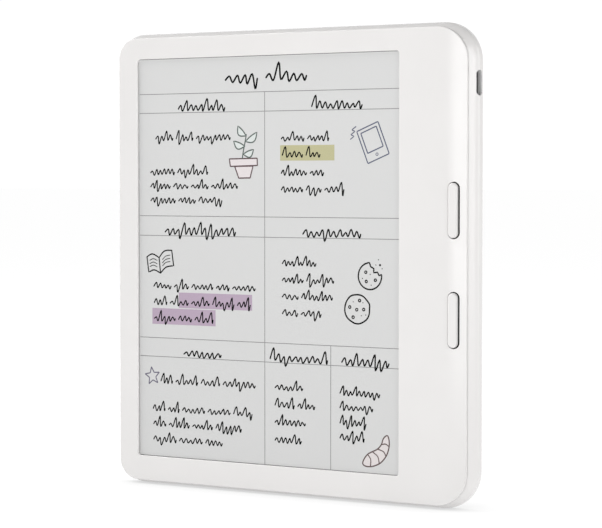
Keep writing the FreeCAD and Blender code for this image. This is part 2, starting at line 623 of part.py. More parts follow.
# ---------------------------------------------------------------- all pieces
cover_body = make_cover_body()
nodes = {
    "front_bezel": make_front_bezel(),
    "back_cover": make_back_cover(cover_body),
    "perimeter_gasket": frame(inset(PLATE_OUTLINE, SEAM_WIDTH), SEAL_WIDTH, PLATE_BACK, SHELL_FRONT),

    "display_film": slab(inset(STACK, -FILM_OVERHANG), POCKET_DEPTH, FILM_BACK),
    "touch_sensor": slab(STACK, FILM_BACK, TOUCH_BACK),
    "light_guide": slab(STACK, TOUCH_BACK, GUIDE_BACK),
    "epaper_panel": slab(inset(STACK, -PANEL_OVERHANG), GUIDE_BACK, PANEL_BACK),
    "display_tape": frame(inset(STACK, TAPE_INSET), TAPE_WIDTH, PANEL_BACK, TAPE_BACK),
    "front_light_leds": [
        block(x - LED_HALF, x + LED_HALF, LED_LOW, LED_HIGH, TOUCH_BACK, GUIDE_BACK) for x in LED_PLACES
    ],
    "front_light_strip": ribbon(LIGHT_STRIP_PATH, LIGHT_STRIP_SPAN),
    "display_flex": ribbon(DISPLAY_FLEX_PATH, DISPLAY_FLEX_SPAN),
    "touch_flex": ribbon(TOUCH_FLEX_PATH, TOUCH_FLEX_SPAN),

    "midframe": make_midframe(),
    "midframe_screws": [screw(x, z, FRAME_BACK, FRAME_SCREW_TIP) for x, z in FRAME_SCREWS],
    "battery_tape": slab(BATTERY_TAPE, FRAME_BACK, BATTERY_TAPE_BACK),
    "battery_cell": slab(BATTERY, BATTERY_TAPE_BACK, BATTERY_BACK),
    "battery_leads": [make_lead(z) for z in LEAD_HEIGHTS],
    "battery_plug": block(*BATTERY_PLUG, BATTERY_PLUG_FRONT, BOARD_FRONT),
    "cover_magnets": [make_magnet(z) for z in MAGNET_HEIGHTS],

    "main_board": make_main_board(),
    "main_board_screws": [screw(x, z, BOARD_FRONT, BOARD_SCREW_TIP) for x, z in BOARD_SCREWS],
    "flex_connectors": [
        block(*FLEX_SOCKET_X, low - FLEX_SOCKET_MARGIN, high + FLEX_SOCKET_MARGIN,
              FLEX_SOCKET_FRONT, BOARD_FRONT)
        for low, high in (DISPLAY_FLEX_SPAN, TOUCH_FLEX_SPAN)
    ],
    "small_parts": make_small_parts(),
    "wireless_shield": make_shield_can(),
    "antenna_film": slab(ANTENNA_FILM, INNER_BACK - ANTENNA_SHEET, INNER_BACK),
    "antenna_cable": Part.makeCylinder(
        ANTENNA_CABLE_RADIUS, ANTENNA_CABLE_LENGTH,
        point(ANTENNA_CABLE_X, ANTENNA_CABLE_START, ANTENNA_CABLE_DEPTH), FreeCAD.Vector(0, 0, 1)),

    "usb_shell": make_usb_shell(),
    "usb_tongue": make_usb_tongue(),
    "usb_contacts": make_usb_contacts(),
    "usb_gasket": make_usb_gasket(),
    "port_ring": make_port_ring(cover_body),

    "button_board": holes(
        slab(BUTTON_BOARD, PAGE_SWITCH_BACK, BUTTON_BOARD_BACK),
        BUTTON_SCREWS, PAGE_SWITCH_BACK, BUTTON_BOARD_BACK),
    "button_board_screws": [screw(x, z, BUTTON_BOARD_BACK, BUTTON_SCREW_TIP) for x, z in BUTTON_SCREWS],
    "button_flex": ribbon(BUTTON_FLEX_PATH, BUTTON_FLEX_SPAN, across_x=True),

    "power_button": make_power_cap(),
    "power_plunger": disc(POWER_X, POWER_Z, POWER_PLUNGER_RADIUS, POWER_PLUNGER_TIP, POWER_FLANGE_FRONT),
    "power_switch": make_power_switch(),
    "status_led": make_package(LIGHT_X, LIGHT_Z, *LIGHT_PACKAGE),
    "status_lens": disc(
        LIGHT_X, LIGHT_Z, LIGHT_RADIUS, BOARD_BACK + LIGHT_PACKAGE[2], THICKNESS - LIGHT_SUNK),
}
for name, package in PACKAGES.items():
    nodes[name] = make_package(*package)
for name, height in BUTTON_HEIGHTS:
    nodes["page_button_" + name] = make_page_cap(height)
    nodes["page_pad_" + name] = slab(
        around(BUTTON_X, height, PAD_HALF, PAD_HALF, PAD_CORNER), FLANGE_BACK, PAD_BACK)
    nodes["page_plunger_" + name] = disc(BUTTON_X, height, PAGE_PLUNGER_RADIUS, PAD_BACK, PAGE_PLUNGER_TIP)
    nodes["page_switch_" + name] = make_page_switch(height)

os.makedirs("parts", exist_ok=True)
for name, shape in nodes.items():
    if isinstance(shape, list):
        shape = Part.makeCompound(shape)
    shape.exportStep("parts/" + name + ".step")
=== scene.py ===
import bpy
import json
import math
import random
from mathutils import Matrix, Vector


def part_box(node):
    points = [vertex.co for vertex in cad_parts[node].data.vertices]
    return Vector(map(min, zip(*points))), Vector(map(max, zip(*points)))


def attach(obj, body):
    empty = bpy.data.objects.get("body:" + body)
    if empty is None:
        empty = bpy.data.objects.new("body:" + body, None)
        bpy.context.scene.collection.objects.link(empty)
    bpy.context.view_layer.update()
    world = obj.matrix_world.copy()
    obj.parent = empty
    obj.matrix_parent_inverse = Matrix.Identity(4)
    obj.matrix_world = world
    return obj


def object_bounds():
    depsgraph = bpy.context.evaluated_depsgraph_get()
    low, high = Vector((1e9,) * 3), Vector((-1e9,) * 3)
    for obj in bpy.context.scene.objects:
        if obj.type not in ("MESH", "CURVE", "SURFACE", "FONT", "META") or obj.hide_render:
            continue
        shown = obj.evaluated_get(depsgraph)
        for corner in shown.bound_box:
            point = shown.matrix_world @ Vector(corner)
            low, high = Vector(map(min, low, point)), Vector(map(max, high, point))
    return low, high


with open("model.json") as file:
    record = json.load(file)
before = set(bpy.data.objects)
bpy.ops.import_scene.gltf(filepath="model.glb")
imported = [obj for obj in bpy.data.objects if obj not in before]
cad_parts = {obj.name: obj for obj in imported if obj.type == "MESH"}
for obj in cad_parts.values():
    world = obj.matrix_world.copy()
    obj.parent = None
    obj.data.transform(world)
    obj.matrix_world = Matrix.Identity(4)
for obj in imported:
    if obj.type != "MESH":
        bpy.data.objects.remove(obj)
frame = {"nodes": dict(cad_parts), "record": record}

CAD_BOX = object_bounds()
MM = 0.001

# ---------------------------------------------------------------- places read from the frame
FILM_LOW, FILM_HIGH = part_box("display_film")
PLATE_LOW, PLATE_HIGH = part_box("front_bezel")
COVER_LOW, COVER_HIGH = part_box("back_cover")

# the screen opening in the front plate, measured from the shell's edges
OPENING_LEFT = COVER_LOW.x + 10.4 * MM
OPENING_TOP = COVER_HIGH.z - 9.1 * MM
OPENING_WIDTH = 106.8
OPENING_HEIGHT = 141.7
# the picture sits this far left of the opening, because the film lies below the front plane
PAGE_SHIFT = 0.55

# ---------------------------------------------------------------- camera
CAMERA_AZIMUTH = math.radians(31.65)
CAMERA_RISE = math.radians(2.24)
CAMERA_DISTANCE = 0.7424
CAMERA_TARGET = Vector((6.83 * MM, PLATE_LOW.y, 80.29 * MM))
CAMERA_LENS = 129.92


def direction(azimuth, rise):
    """Unit vector from the object; azimuth 0 is straight in front, positive to the right."""
    return Vector((
        math.sin(azimuth) * math.cos(rise),
        -math.cos(azimuth) * math.cos(rise),
        math.sin(rise),
    ))


def add_camera():
    away = direction(CAMERA_AZIMUTH, CAMERA_RISE)
    data = bpy.data.cameras.new("camera")
    data.lens = CAMERA_LENS
    data.sensor_width = 36.0
    data.clip_start = 0.01
    data.clip_end = 60.0
    camera = bpy.data.objects.new("camera", data)
    bpy.context.scene.collection.objects.link(camera)
    camera.location = CAMERA_TARGET + away * CAMERA_DISTANCE
    camera.rotation_euler = (-away).to_track_quat("-Z", "Y").to_euler()
    bpy.context.scene.camera = camera


# ---------------------------------------------------------------- studio
# each softbox: azimuth and height angle in degrees, distance, width, height, radiance
SOFTBOXES = {
    "edge_softbox": (4.5, 10.5, 0.50, 0.19, 0.34, 4.6),
    "key_softbox": (-72.0, 46.0, 1.20, 0.66, 0.70, 6.6),
    "left_softbox": (-84.0, 14.0, 1.20, 0.40, 0.40, 2.0),
    "right_softbox": (66.0, 14.0, 1.25, 0.60, 0.80, 3.2),
    "rear_softbox": (122.0, 14.0, 1.25, 0.80, 0.80, 2.2),
}
SOFTBOX_AIM = Vector((0.0, 0.0, 80 * MM))
# world brightness along each axis: from, to, value before, value after
WORLD_FADES = (
    ("Z", 0.20, 0.85, 1.0, 0.25),
    ("Y", -0.75, -0.15, 0.10, 1.03),
    ("X", 0.00, 0.70, 1.0, 0.25),
)
FLOOR_REACH = 20.0
FLOOR_DROP = 0.02 * MM
FLOOR_GLOW = 0.95
FLOOR_BASE = 0.15
CONTACT_REACH = 24 * MM
CONTACT_SHADE = 0.60


def add_softbox(name, azimuth, rise, distance, width, height, radiance):
    data = bpy.data.lights.new(name, "AREA")
    data.shape = "RECTANGLE"
    data.size = width
    data.size_y = height
    data.energy = radiance * math.pi * width * height
    light = bpy.data.objects.new(name, data)
    bpy.context.scene.collection.objects.link(light)
    towards = direction(math.radians(azimuth), math.radians(rise))
    light.location = SOFTBOX_AIM + towards * distance
    light.rotation_euler = (-towards).to_track_quat("-Z", "Y").to_euler()
    light.visible_camera = False


def add_world():
    """White at the horizon, dimmer overhead, in front of the screen and to the right."""
    world = bpy.data.worlds.new("studio")
    bpy.context.scene.world = world
    world.use_nodes = True
    tree = world.node_tree
    tree.nodes.clear()
    output = tree.nodes.new("ShaderNodeOutputWorld")
    background = tree.nodes.new("ShaderNodeBackground")
    coordinates = tree.nodes.new("ShaderNodeTexCoord")
    split = tree.nodes.new("ShaderNodeSeparateXYZ")
    background.inputs["Color"].default_value = (1.0, 1.0, 1.0, 1.0)
    tree.links.new(coordinates.outputs["Generated"], split.inputs["Vector"])
    strength = None
    for axis, start, end, low, high in WORLD_FADES:
        fade = tree.nodes.new("ShaderNodeMapRange")
        fade.interpolation_type = "SMOOTHSTEP"
        fade.inputs["From Min"].default_value = start
        fade.inputs["From Max"].default_value = end
        fade.inputs["To Min"].default_value = low
        fade.inputs["To Max"].default_value = high
        tree.links.new(split.outputs[axis], fade.inputs["Value"])
        if strength is None:
            strength = fade.outputs["Result"]
            continue
        product = tree.nodes.new("ShaderNodeMath")
        product.operation = "MULTIPLY"
        tree.links.new(strength, product.inputs[0])
        tree.links.new(fade.outputs["Result"], product.inputs[1])
        strength = product.outputs["Value"]
    tree.links.new(strength, background.inputs["Strength"])
    tree.links.new(background.outputs["Background"], output.inputs["Surface"])


def add_floor():
    """White floor that glows evenly, with a painted contact shadow: the glow drops close to what stands on it.
    """
    data = bpy.data.meshes.new("floor")
    signs = ((-1, -1), (1, -1), (1, 1), (-1, 1))
    data.from_pydata([(x * FLOOR_REACH, y * FLOOR_REACH, 0) for x, y in signs], [], [(0, 1, 2, 3)])
    floor = bpy.data.objects.new("floor", data)
    bpy.context.scene.collection.objects.link(floor)
    floor.location.z = CAD_BOX[0][2] - FLOOR_DROP
    material = bpy.data.materials.new("floor_white")
    material.use_nodes = True
    tree = material.node_tree
    shader = tree.nodes["Principled BSDF"]
    shader.inputs["Base Color"].default_value = (FLOOR_BASE, FLOOR_BASE, FLOOR_BASE, 1.0)
    shader.inputs["Roughness"].default_value = 1.0
    shader.inputs["Specular IOR Level"].default_value = 0.0
    shader.inputs["Emission Color"].default_value = (1.0, 1.0, 1.0, 1.0)
    # painted contact shadow: the floor's glow is cut where other things are near
    near = tree.nodes.new("ShaderNodeAmbientOcclusion")
    near.samples = 12
    near.inputs["Distance"].default_value = CONTACT_REACH
    glow = tree.nodes.new("ShaderNodeMapRange")
    glow.inputs["To Min"].default_value = CONTACT_SHADE * FLOOR_GLOW
    glow.inputs["To Max"].default_value = FLOOR_GLOW
    tree.links.new(near.outputs["AO"], glow.inputs["Value"])
    tree.links.new(glow.outputs["Result"], shader.inputs["Emission Strength"])
    data.materials.append(material)


def add_studio():
    view = bpy.context.scene.view_settings
    view.view_transform = "Standard"
    view.look = "None"
    add_world()
    for name, box in SOFTBOXES.items():
        add_softbox(name, *box)
    add_floor()


# ---------------------------------------------------------------- materials
class Graph:
    """Small helper for procedural materials measured in the object's own metres."""

    def __init__(self, name):
        self.material = bpy.data.materials.new(name)
        self.material.use_nodes = True
        self.tree = self.material.node_tree
        self.shader = self.tree.nodes["Principled BSDF"]
        self.coordinates = self.tree.nodes.new("ShaderNodeTexCoord").outputs["Object"]

    def set(self, **values):
        names = {"roughness": "Roughness", "metallic": "Metallic", "specular": "Specular IOR Level",
                 "coat": "Coat Weight", "coat_roughness": "Coat Roughness", "ior": "IOR",
                 "transmission": "Transmission Weight"}
        for key, value in values.items():
            self.shader.inputs[names[key]].default_value = value
        return self

    def node(self, kind, **values):
        node = self.tree.nodes.new("ShaderNode" + kind)
        for key, value in values.items():
            node.inputs[key].default_value = value
        return node

    def noise(self, size, detail=2.0):
        """Cloudy values whose features are about size metres across."""
        node = self.node("TexNoise", Scale=1.0 / size, Detail=detail)
        self.tree.links.new(self.coordinates, node.inputs["Vector"])
        return node.outputs["Fac"]

    def colours(self, factor, low, high, start=0.3, end=0.7):
        ramp = self.node("ValToRGB")
        ramp.color_ramp.elements[0].position = start
        ramp.color_ramp.elements[1].position = end
        ramp.color_ramp.elements[0].color = (*low, 1.0)
        ramp.color_ramp.elements[1].color = (*high, 1.0)
        self.tree.links.new(factor, ramp.inputs["Fac"])
        return ramp.outputs["Color"]

    def base(self, colour):
        self.tree.links.new(colour, self.shader.inputs["Base Color"])
        return self

    def rough(self, factor, low, high):
        spread = self.node("MapRange", **{"To Min": low, "To Max": high})
        self.tree.links.new(factor, spread.inputs["Value"])
        self.tree.links.new(spread.outputs["Result"], self.shader.inputs["Roughness"])
        return self

    def bump(self, height, depth, strength=1.0):
        node = self.node("Bump", Strength=strength, Distance=depth)
        self.tree.links.new(height, node.inputs["Height"])
        self.tree.links.new(node.outputs["Normal"], self.shader.inputs["Normal"])
        return self


def grey(value):
    return (value, value, value)


# how far behind the front plane the painted shade on a page button's skirt starts and ends; it stands for the
# shadow in the gap round the cap
SKIRT_START = 0.78 * MM
SKIRT_END = 2.80 * MM
# grey of the painted shade on the cap's skirt
SKIRT_SHADE_GREY = 0.05
CLOUD_SIZE = 18 * MM


def white_plastic(name, low, high):
    graph = Graph(name).set(specular=0.5)
    graph.base(graph.colours(graph.noise(CLOUD_SIZE, 3.0), low, high))
    graph.rough(graph.noise(6 * MM, 4.0), 0.19, 0.26)
    graph.bump(graph.noise(0.12 * MM, 2.0), 0.003 * MM, 0.5)
    return graph


def button_plastic():
    """White cap whose skirt, well below the front plane, is painted dark as shade for the gap round it."""
    graph = white_plastic("white_button", (0.715, 0.702, 0.694), (0.730, 0.717, 0.709))
    tree = graph.tree
    # painted shade mask: set where the cap lies deep behind the front plane, in the shadow of its slot
    split = graph.node("SeparateXYZ")
    tree.links.new(graph.coordinates, split.inputs["Vector"])
    skirt_shade = graph.node("Math")
    skirt_shade.operation = "COMPARE"
    skirt_shade.inputs[1].default_value = PLATE_LOW.y + (SKIRT_START + SKIRT_END) / 2
    skirt_shade.inputs[2].default_value = (SKIRT_END - SKIRT_START) / 2
    tree.links.new(split.outputs["Y"], skirt_shade.inputs[0])
    share = graph.node("Math")
    share.operation = "SUBTRACT"
    share.use_clamp = True
    tree.links.new(graph.noise(CLOUD_SIZE, 3.0), share.inputs[0])
    tree.links.new(skirt_shade.outputs["Value"], share.inputs[1])
    graph.base(graph.colours(
        share.outputs["Value"], grey(SKIRT_SHADE_GREY), (0.722, 0.709, 0.701), 0.0, 0.25))
    return graph.material


def paper_screen():
    graph = Graph("paper_screen").set(specular=0.2)
    graph.base(graph.colours(graph.noise(0.16 * MM, 1.0), (0.575, 0.576, 0.573), (0.595, 0.596, 0.593)))
    graph.rough(graph.noise(0.4 * MM, 2.0), 0.5, 0.6)
    graph.bump(graph.noise(0.09 * MM, 1.0), 0.003 * MM, 0.4)
    return graph.material


def plain_grain(name, low, high, size, roughness, metallic=0.0, depth=0.01 * MM, **extra):
    graph = Graph(name).set(metallic=metallic, **extra)
    factor = graph.noise(size, 3.0)
    graph.base(graph.colours(factor, low, high))
    graph.rough(factor, *roughness)
    graph.bump(graph.noise(size * 0.5, 3.0), depth, 0.4)
    return graph.material


def clear_sheet(name, tint):
    graph = Graph(name).set(transmission=0.9, ior=1.5)
    graph.base(graph.colours(graph.noise(5 * MM), tint, (1.0, 1.0, 1.0)))
    graph.rough(graph.noise(2 * MM), 0.03, 0.08)
    return graph.material


def matt_colour(name, colour):
    """Matt colour, a little uneven: printed colour on the page, and the painted shade line at the film's
    border.
    """
    graph = Graph(name).set(specular=0.1)
    darker = tuple(0.9 * part for part in colour)
    graph.base(graph.colours(graph.noise(0.3 * MM, 2.0), darker, colour))
    graph.rough(graph.noise(0.5 * MM), 0.7, 0.9)
    return graph.material


def make_materials():
    metal = {"metallic": 0.9}
    return {
        "white_shell": white_plastic("white_shell", (0.705, 0.692, 0.684), (0.720, 0.707, 0.699)).material,
        "white_button": button_plastic(),
        "paper_screen": paper_screen(),
        "clear_glass": clear_sheet("clear_glass", (0.94, 0.96, 0.96)),
        "clear_acrylic": clear_sheet("clear_acrylic", (0.95, 0.96, 0.97)),
        "panel_glass": plain_grain("panel_glass", grey(0.40), grey(0.46), 3 * MM, (0.15, 0.3)),
        "black_tape": plain_grain("black_tape", grey(0.02), grey(0.04), 0.4 * MM, (0.8, 0.95)),
        "led_white": plain_grain("led_white", (0.85, 0.8, 0.5), (0.95, 0.93, 0.8), 0.5 * MM, (0.3, 0.4)),
        "amber_flex": plain_grain("amber_flex", (0.42, 0.19, 0.03), (0.58, 0.29, 0.06), 2 * MM, (0.25, 0.4)),
        "magnesium_sheet": plain_grain(
            "magnesium_sheet", grey(0.28), grey(0.36), 0.5 * MM, (0.45, 0.6), **metal),
        "black_steel": plain_grain("black_steel", grey(0.03), grey(0.06), 0.2 * MM, (0.35, 0.5), **metal),
        "battery_foil": plain_grain("battery_foil", grey(0.52), grey(0.64), 1.2 * MM, (0.3, 0.42), **metal),
        "lead_sleeve": plain_grain("lead_sleeve", grey(0.03), grey(0.06), 0.5 * MM, (0.5, 0.6)),
        "connector_plastic": plain_grain(
            "connector_plastic", grey(0.05), grey(0.09), 0.3 * MM, (0.4, 0.55)),
        "nickel_magnet": plain_grain("nickel_magnet", grey(0.6), grey(0.72), 0.4 * MM, (0.2, 0.3), **metal),
        "circuit_board": plain_grain(
            "circuit_board", (0.012, 0.12, 0.05), (0.03, 0.19, 0.09), 1.5 * MM, (0.3, 0.45)),
        "chip_black": plain_grain("chip_black", grey(0.025), grey(0.05), 0.15 * MM, (0.5, 0.65)),
        "tinned_steel": plain_grain("tinned_steel", grey(0.5), grey(0.62), 0.4 * MM, (0.25, 0.4), **metal),
        "capacitor_ceramic": plain_grain(
            "capacitor_ceramic", (0.42, 0.31, 0.19), (0.52, 0.41, 0.28), 0.3 * MM, (0.4, 0.5)),
        "gold_contact": plain_grain(
            "gold_contact", (0.75, 0.55, 0.2), (0.88, 0.68, 0.3), 0.3 * MM, (0.15, 0.3), **metal),
        "seal_rubber": plain_grain("seal_rubber", grey(0.22), grey(0.30), 0.3 * MM, (0.6, 0.8)),
        "pad_silicone": plain_grain("pad_silicone", grey(0.35), grey(0.42), 0.3 * MM, (0.5, 0.65)),
        "port_grey": plain_grain("port_grey", grey(0.52), grey(0.58), 0.3 * MM, (0.5, 0.65)),
    }


def dress_frame(materials):
    slots = {part["node"]: part["material_slot"] for part in frame["record"]["subparts"]}
    for name, piece in frame["nodes"].items():
        piece.data.materials.clear()
        piece.data.materials.append(materials[slots[name]])


# ---------------------------------------------------------------- drawing on the page
# Page places are in mm, measured right and down from the opening's upper left corner.
INK_LIFT = 0.012
INK_STEP = 0.0006
FILL_LIFT = 0.008
MARKER_LIFT = 0.005
INK_SINK = 0.004
LIFT_LEVELS = 9


class Sheet:
    """Collects flat closed shapes of one colour that lie on the film."""

    def __init__(self, name, material, lift=INK_LIFT):
        self.name = name
        self.material = material
        self.lift = lift
        self.vertices = []
        self.faces = []
        self.count = 0

    def place(self, u, v, lift):
        return (OPENING_LEFT + (u - PAGE_SHIFT) * MM, FILM_LOW.y - lift * MM, OPENING_TOP - v * MM)

    def add_rings(self, loops):
        """Front and back copies of each loop of page points; returns index lists."""
        lift = self.lift + INK_STEP * (self.count % LIFT_LEVELS)
        self.count += 1
        result = []
        for loop in loops:
            pair = []
            for height in (lift, -INK_SINK):
                start = len(self.vertices)
                self.vertices += [self.place(u, v, height) for u, v in loop]
                pair.append(list(range(start, start + len(loop))))
            result.append(pair)
        return result

    def wall(self, front, back, outwards):
        size = len(front)
        for i in range(size):
            j = (i + 1) % size
            face = (front[i], back[i], back[j], front[j])
            self.faces.append(face if outwards else face[::-1])

    def patch(self, points):
        """Filled outline; the points run clockwise on the page."""
        (front, back), = self.add_rings([points])
        self.faces.append(tuple(front[::-1]))
        self.faces.append(tuple(back))
        self.wall(front, back, False)

    def stroke(self, points, width, closed=False):
        """Pen line of even width with round ends."""
        half = width / 2
        lefts, rights = [], []
        last = len(points) - 1
        for i, (u, v) in enumerate(points):
            before = points[i - 1] if i > 0 or closed else points[i]
            after = points[(i + 1) % len(points)] if i < last or closed else points[i]
            run = math.hypot(after[0] - before[0], after[1] - before[1]) or 1.0
            nu, nv = -(after[1] - before[1]) / run * half, (after[0] - before[0]) / run * half
            lefts.append((u + nu, v + nv))
            rights.append((u - nu, v - nv))
        if closed:
            (lf, lb), (rf, rb) = self.add_rings([lefts, rights])
            size = len(points)
            for i in range(size):
                j = (i + 1) % size
                self.faces.append((lf[i], lf[j], rf[j], rf[i]))
                self.faces.append((lb[i], rb[i], rb[j], lb[j]))
            self.wall(lf, lb, True)
            self.wall(rf, rb, False)
            return
        end_cap = self.cap(points[-1], lefts[-1])
        start_cap = self.cap(points[0], rights[0])
        ring = lefts + end_cap + rights[::-1] + start_cap
        (front, back), = self.add_rings([ring])
        size, arc = len(points), len(end_cap)
        for i in range(size - 1):
            a, b = i, i + 1
            c, d = 2 * size + arc - 2 - i, 2 * size + arc - 1 - i
            self.faces.append((front[a], front[b], front[c], front[d]))
            self.faces.append((back[a], back[d], back[c], back[b]))
        end = list(range(size - 1, size + arc + 1))
        start = list(range(2 * size + arc - 1, 2 * size + 2 * arc)) + [0]
        for loop in (end, start):
            self.faces.append(tuple(front[i] for i in loop))
            self.faces.append(tuple(back[i] for i in loop[::-1]))
        self.wall(front, back, True)

    @staticmethod
    def cap(centre, first):
        """Points of the half circle that follows the first one round the line's end."""
        arm_u, arm_v = first[0] - centre[0], first[1] - centre[1]
        points = []
        for turn in (-45, -90, -135):
            angle = math.radians(turn)
            points.append((
                centre[0] + arm_u * math.cos(angle) - arm_v * math.sin(angle),
                centre[1] + arm_u * math.sin(angle) + arm_v * math.cos(angle)))
        return points

    def finish(self):
        mesh = bpy.data.meshes.new(self.name)
        mesh.from_pydata(self.vertices, [], self.faces)
        mesh.materials.append(self.material)
        piece = bpy.data.objects.new(self.name, mesh)
        bpy.context.scene.collection.objects.link(piece)
        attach(piece, "casing")


def smooth(points, steps=5, closed=False):
    """Rounded line through the points."""
    size = len(points)
    spans = size if closed else size - 1
    result = []
    for i in range(spans):
        if closed:
            a, b, c, d = (points[(i + k) % size] for k in (-1, 0, 1, 2))
        else:
            a, b, c, d = (points[min(max(i + k, 0), size - 1)] for k in (-1, 0, 1, 2))
        for step in range(steps):
            t = step / steps
            result.append(tuple(
                0.5 * (2 * b[k] + (c[k] - a[k]) * t + (2 * a[k] - 5 * b[k] + 4 * c[k] - d[k]) * t * t
                       + (3 * b[k] - a[k] - 3 * c[k] + d[k]) * t ** 3)
                for k in (0, 1)))
    if not closed:
        result.append(points[-1])
    return result


def circle(centre, radius, count=16, wobble=0.0, chance=None):
    points = []
    for i in range(count):
        angle = 2 * math.pi * i / count
        reach = radius * (1 + (chance.uniform(-wobble, wobble) if chance else 0.0))
        points.append((centre[0] + reach * math.cos(angle), centre[1] + reach * math.sin(angle)))
    return points


def turned(points, centre, degrees):
    angle = math.radians(degrees)
    result = []
    for u, v in points:
        u, v = u - centre[0], v - centre[1]
        result.append((
            centre[0] + u * math.cos(angle) - v * math.sin(angle),
            centre[1] + u * math.sin(angle) + v * math.cos(angle)))
    return result


# written lines: left end, right end, baseline
TITLE_WORDS = ((37.8, 50.6, 9.7), (54.6, 70.5, 9.2))
HEADINGS = (
    (17.8, 37.2, 19.0), (73.0, 92.5, 19.0), (12.0, 41.6, 62.5), (69.5, 92.0, 62.5),
    (20.0, 35.5, 105.7), (56.2, 79.0, 105.7), (85.0, 103.0, 105.7),
)
NOTES = (
    (8.0, 39.5, 29.2), (5.8, 30.0, 41.2), (5.8, 42.5, 46.2), (5.8, 36.0, 51.2),
    (60.8, 79.5, 29.7), (61.2, 80.8, 35.3), (60.8, 77.5, 41.5), (60.8, 85.5, 47.2),
    (7.0, 49.8, 81.7), (7.2, 47.8, 87.5), (7.2, 32.2, 93.2),
    (61.2, 74.5, 72.5), (61.2, 81.5, 78.3), (61.2, 81.0, 84.0), (61.2, 76.5, 89.8),
    (10.0, 49.8, 115.5), (6.6, 48.5, 125.5), (6.8, 44.0, 131.0), (6.8, 36.0, 136.5),
    (58.2, 69.2, 115.5), (58.2, 74.0, 121.5), (58.2, 70.2, 127.5), (58.2, 68.6, 133.7),
    (84.3, 99.5, 116.0), (84.3, 96.8, 121.0), (84.3, 94.2, 126.2), (84.3, 93.5, 131.3),
)
# body height and pen width of the writing
TITLE_HAND = (3.9, 0.68)
HEADING_HAND = (2.8, 0.53)
NOTE_HAND = (2.2, 0.47)
WORD_GAP = 1.7
RULES_ACROSS = (12.5, 19.2, 55.7, 62.7, 99.2, 105.9)
RULES_DOWN = ((54.0, 12.5), (80.6, 99.2))
RULE_WIDTH = 0.24
RULE_START = 1.0
# width of the painted shade line round the edge of the film
BORDER_WIDTH = 0.18
OLIVE_BANDS = ((60.3, 82.0, 31.0, 36.3),)
PURPLE_BANDS = ((17.8, 48.8, 82.8, 88.3), (6.3, 33.5, 88.6, 94.3))


# the wavy pen line that stands for a word, in shares of the body height
WAVE_PITCH = 0.80
WAVE_LEAN = 0.16
CREST = (0.62, 1.06)
TALL_CREST = (1.45, 1.75)
TALL_CHANCE = 0.22
TROUGH = (-0.04, 0.20)
DEEP_TROUGH = (-0.60, -0.40)
DEEP_CHANCE = 0.09


def scribble(start, end, baseline, hand, chance):
    """One word's place as a single wavy pen line of uneven crests, with no letters in it."""
    body = hand[0]
    count = max(3, round((end - start) / (WAVE_PITCH * body)))
    step = (end - start) / count
    knots = [(start, baseline - 0.40 * body)]
    tall = False
    for index in range(count):
        left = start + index * step
        tall = not tall and chance.random() < TALL_CHANCE
        crest = body * chance.uniform(*(TALL_CREST if tall else CREST))
        trough = body * chance.uniform(*(DEEP_TROUGH if chance.random() < DEEP_CHANCE else TROUGH))
        knots.append((left + chance.uniform(0.28, 0.46) * step + WAVE_LEAN * crest, baseline - crest))
        knots.append((left + chance.uniform(0.80, 0.96) * step + WAVE_LEAN * trough, baseline - trough))
    knots.append((end + 0.10 * body, baseline - 0.45 * body))
    return smooth(knots, 5)


def write_word(sheet, start, end, baseline, hand, chance):
    sheet.stroke(scribble(start, end, baseline, hand, chance), hand[1])


def write_line(sheet, start, end, baseline, hand, chance):
    """A row of scribbled words of uneven length."""
    words = []
    left = start
    while end - left > 2.2 * WORD_GAP:
        right = left + chance.uniform(4.2, 11.0)
        if end - right < 3.0 + WORD_GAP:
            right = end
        words.append((left, right))
        left = right + WORD_GAP
    for left, right in words:
        write_word(sheet, left, right, baseline, hand, chance)


def rectangle(u0, u1, v0, v1):
    return [(u0, v0), (u1, v0), (u1, v1), (u0, v1)]


def draw_page():
    chance = random.Random(41)
    black = matt_colour("ink_black", grey(0.006))

    rules = Sheet("screen_rules", matt_colour("ink_rule", grey(0.25)))
    for v in RULES_ACROSS:
        rules.patch(rectangle(RULE_START, OPENING_WIDTH + 1.0, v - RULE_WIDTH / 2, v + RULE_WIDTH / 2))
    for u, v in RULES_DOWN:
        rules.patch(rectangle(u - RULE_WIDTH / 2, u + RULE_WIDTH / 2, v, OPENING_HEIGHT + 0.5))
    rules.finish()

    # painted shade where the film meets the walls of the opening, standing for the shadow in the gap there
    left, right = PAGE_SHIFT, PAGE_SHIFT + OPENING_WIDTH
    border = Sheet("screen_gap_shade", matt_colour("painted_gap_shade", grey(0.16)), FILL_LIFT)
    border.patch(rectangle(left, left + BORDER_WIDTH, 0.0, OPENING_HEIGHT))
    border.patch(rectangle(right - BORDER_WIDTH, right, 0.0, OPENING_HEIGHT))
    border.patch(rectangle(left + BORDER_WIDTH, right - BORDER_WIDTH, 0.0, BORDER_WIDTH))
    border.patch(rectangle(left + BORDER_WIDTH, right - BORDER_WIDTH, OPENING_HEIGHT - BORDER_WIDTH,
                           OPENING_HEIGHT))
    border.finish()

    writing = Sheet("screen_writing", black)
    for start, end, baseline in TITLE_WORDS:
        write_word(writing, start, end, baseline, TITLE_HAND, chance)
    for start, end, baseline in HEADINGS:
        write_word(writing, start, end, baseline, HEADING_HAND, chance)
    for start, end, baseline in NOTES:
        write_line(writing, start, end, baseline, NOTE_HAND, chance)
    writing.finish()

    for name, colour, bands in (
            ("screen_marker_olive", (0.475, 0.455, 0.275), OLIVE_BANDS),
            ("screen_marker_purple", (0.440, 0.350, 0.440), PURPLE_BANDS)):
        marker = Sheet(name, matt_colour(name, colour), MARKER_LIFT)
        for band in bands:
            marker.patch(rectangle(*band))
        marker.finish()

    draw_plant()
    draw_tablet()
    draw_book()
    draw_biscuits(chance)
    draw_star()
    draw_pastry()


